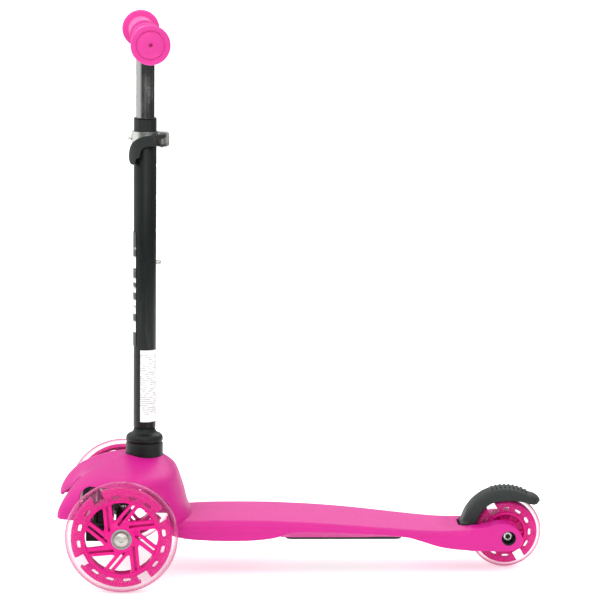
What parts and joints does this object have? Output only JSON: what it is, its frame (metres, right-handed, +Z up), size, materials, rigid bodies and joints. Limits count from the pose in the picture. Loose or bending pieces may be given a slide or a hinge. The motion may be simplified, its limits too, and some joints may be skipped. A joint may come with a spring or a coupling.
{
  "type": "kick scooter",
  "caption": "Child-size kick scooter with a moulded deck and head, two front wheels that steer when the deck leans, a small rear wheel under a fender brake and a height-adjustable T-bar.",
  "frame": {"origin": "middle of the bounding box at ground level", "axes": "+Z up along the column, +X towards the rear wheel, -Y to the side the picture shows"},
  "size_m": [0.5304, 0.253, 0.6017],
  "materials": {
    "pink_plastic": "satin moulded plastic with a fine texture on the foot area",
    "black_plastic": "fine moulded grain",
    "white_plastic": "plain bearing plastic",
    "wheel_plastic": "glossy moulded plastic",
    "clear_urethane": "clear cast urethane",
    "grip_rubber": "soft matt rubber",
    "black_paint": "satin black powder coat on steel",
    "chrome": "polished chrome plate on steel",
    "zinc_steel": "zinc plated",
    "bearing_steel": "ground steel",
    "spring_steel": "oiled spring wire",
    "decal_film": "printed vinyl film",
    "label_film": "printed paper label"
  },
  "bodies": {
    "frame": {"deck": "pink_plastic", "underplate": "black_plastic", "underplate_screw_1": "zinc_steel", "underplate_screw_2": "zinc_steel", "underplate_screw_3": "zinc_steel", "underplate_screw_4": "zinc_steel", "lean_carrier": "black_plastic", "steer_pin": "zinc_steel", "carrier_screw_left": "zinc_steel", "carrier_screw_right": "zinc_steel", "lean_bolt": "zinc_steel", "lean_nut": "zinc_steel", "centring_spring": "spring_steel", "socket_collar": "black_plastic", "column_foot": "black_plastic", "outer_tube": "black_paint", "tube_bush": "black_plastic", "front_decal": "decal_film", "rear_label": "label_film", "clamp_ring": "chrome", "draw_bolt": "chrome", "barrel_nut": "chrome", "lever_pin": "zinc_steel", "brake_pin": "zinc_steel", "brake_spring": "spring_steel", "rear_axle_bolt": "zinc_steel", "rear_axle_nut": "zinc_steel"},
    "axle_beam": {"axle_beam": "black_plastic", "lean_bush_front": "white_plastic", "lean_bush_rear": "white_plastic", "kingpin_left": "zinc_steel", "kingpin_right": "zinc_steel"},
    "knuckle_left": {"knuckle_left": "black_plastic", "axle_bolt_left": "zinc_steel", "axle_nut_left": "zinc_steel", "tie_pin_left": "zinc_steel"},
    "knuckle_right": {"knuckle_right": "black_plastic", "axle_bolt_right": "zinc_steel", "axle_nut_right": "zinc_steel", "tie_pin_right": "zinc_steel"},
    "tie_rod": {"tie_rod": "black_plastic"},
    "wheel_left": {"tyre_left": "clear_urethane", "wheel_core_left": "wheel_plastic", "bearing_left_outer": "bearing_steel", "bearing_left_inner": "bearing_steel"},
    "wheel_right": {"tyre_right": "clear_urethane", "wheel_core_right": "wheel_plastic", "bearing_right_outer": "bearing_steel", "bearing_right_inner": "bearing_steel"},
    "wheel_rear": {"tyre_rear": "clear_urethane", "wheel_core_rear": "wheel_plastic", "bearing_rear_left": "bearing_steel", "bearing_rear_right": "bearing_steel"},
    "brake": {"brake_fender": "black_plastic"},
    "lever": {"quick_lever": "black_plastic"},
    "t_bar": {"t_bar": "chrome", "grip_left": "grip_rubber", "grip_right": "grip_rubber", "spring_clip": "spring_steel"},
    "lock_button": {"lock_button": "zinc_steel"}
  },
  "joints": [
    {"name": "lean", "type": "hinge", "parent": "frame", "child": "axle_beam", "pos_m": [-0.19576, 0, 0.08], "axis": [1, 0, 0], "range_deg": [-10, 10], "stiffness_Nm_per_rad": 20, "deforming": ["centring_spring"]},
    {"name": "steer_left", "type": "hinge", "parent": "axle_beam", "child": "knuckle_left", "pos_m": [-0.21576, -0.066, 0.07], "axis": [0, 0, 1], "range_deg": [-8.82, 8.82]},
    {"name": "steer_right", "type": "hinge", "parent": "axle_beam", "child": "knuckle_right", "pos_m": [-0.21576, 0.066, 0.07], "axis": [0, 0, 1], "range_deg": [-8.82, 8.82]},
    {"name": "tie_slide", "type": "slide", "parent": "axle_beam", "child": "tie_rod", "axis": [0, 1, 0], "range_m": [-0.0031, 0.0031]},
    {"name": "wheel_left_spin", "type": "hinge", "parent": "knuckle_left", "child": "wheel_left", "pos_m": [-0.19576, -0.1095, 0.06], "axis": [0, 1, 0], "continuous": true},
    {"name": "wheel_right_spin", "type": "hinge", "parent": "knuckle_right", "child": "wheel_right", "pos_m": [-0.19576, 0.1095, 0.06], "axis": [0, 1, 0], "continuous": true},
    {"name": "wheel_rear_spin", "type": "hinge", "parent": "frame", "child": "wheel_rear", "pos_m": [0.22524, 0, 0.04], "axis": [0, 1, 0], "continuous": true},
    {"name": "brake_press", "type": "hinge", "parent": "frame", "child": "brake", "pos_m": [0.17124, 0, 0.038], "axis": [0, 1, 0], "range_deg": [0, 3], "stiffness_Nm_per_rad": 0.6, "springref_deg": -11.46, "deforming": ["brake_spring"]},
    {"name": "lever_open", "type": "hinge", "parent": "frame", "child": "lever", "pos_m": [-0.15366, -0.0095, 0.4695], "axis": [0, 0, 1], "range_deg": [0, 100]},
    {"name": "bar_height", "type": "slide", "parent": "frame", "child": "t_bar", "axis": [0, 0, 1], "range_m": [0, 0.105]},
    {"name": "button_press", "type": "slide", "parent": "frame", "child": "lock_button", "axis": [-1, 0, 0], "range_m": [0, 0.004], "stiffness_N_per_m": 400, "springref_m": -0.002, "deforming": ["spring_clip"]}
  ],
  "couplings": [
    {"joint": "steer_left", "follows": "lean", "ratio": -0.88},
    {"joint": "steer_right", "follows": "lean", "ratio": -0.88},
    {"joint": "tie_slide", "follows": "lean", "m_per_rad": -0.0176}
  ]
}
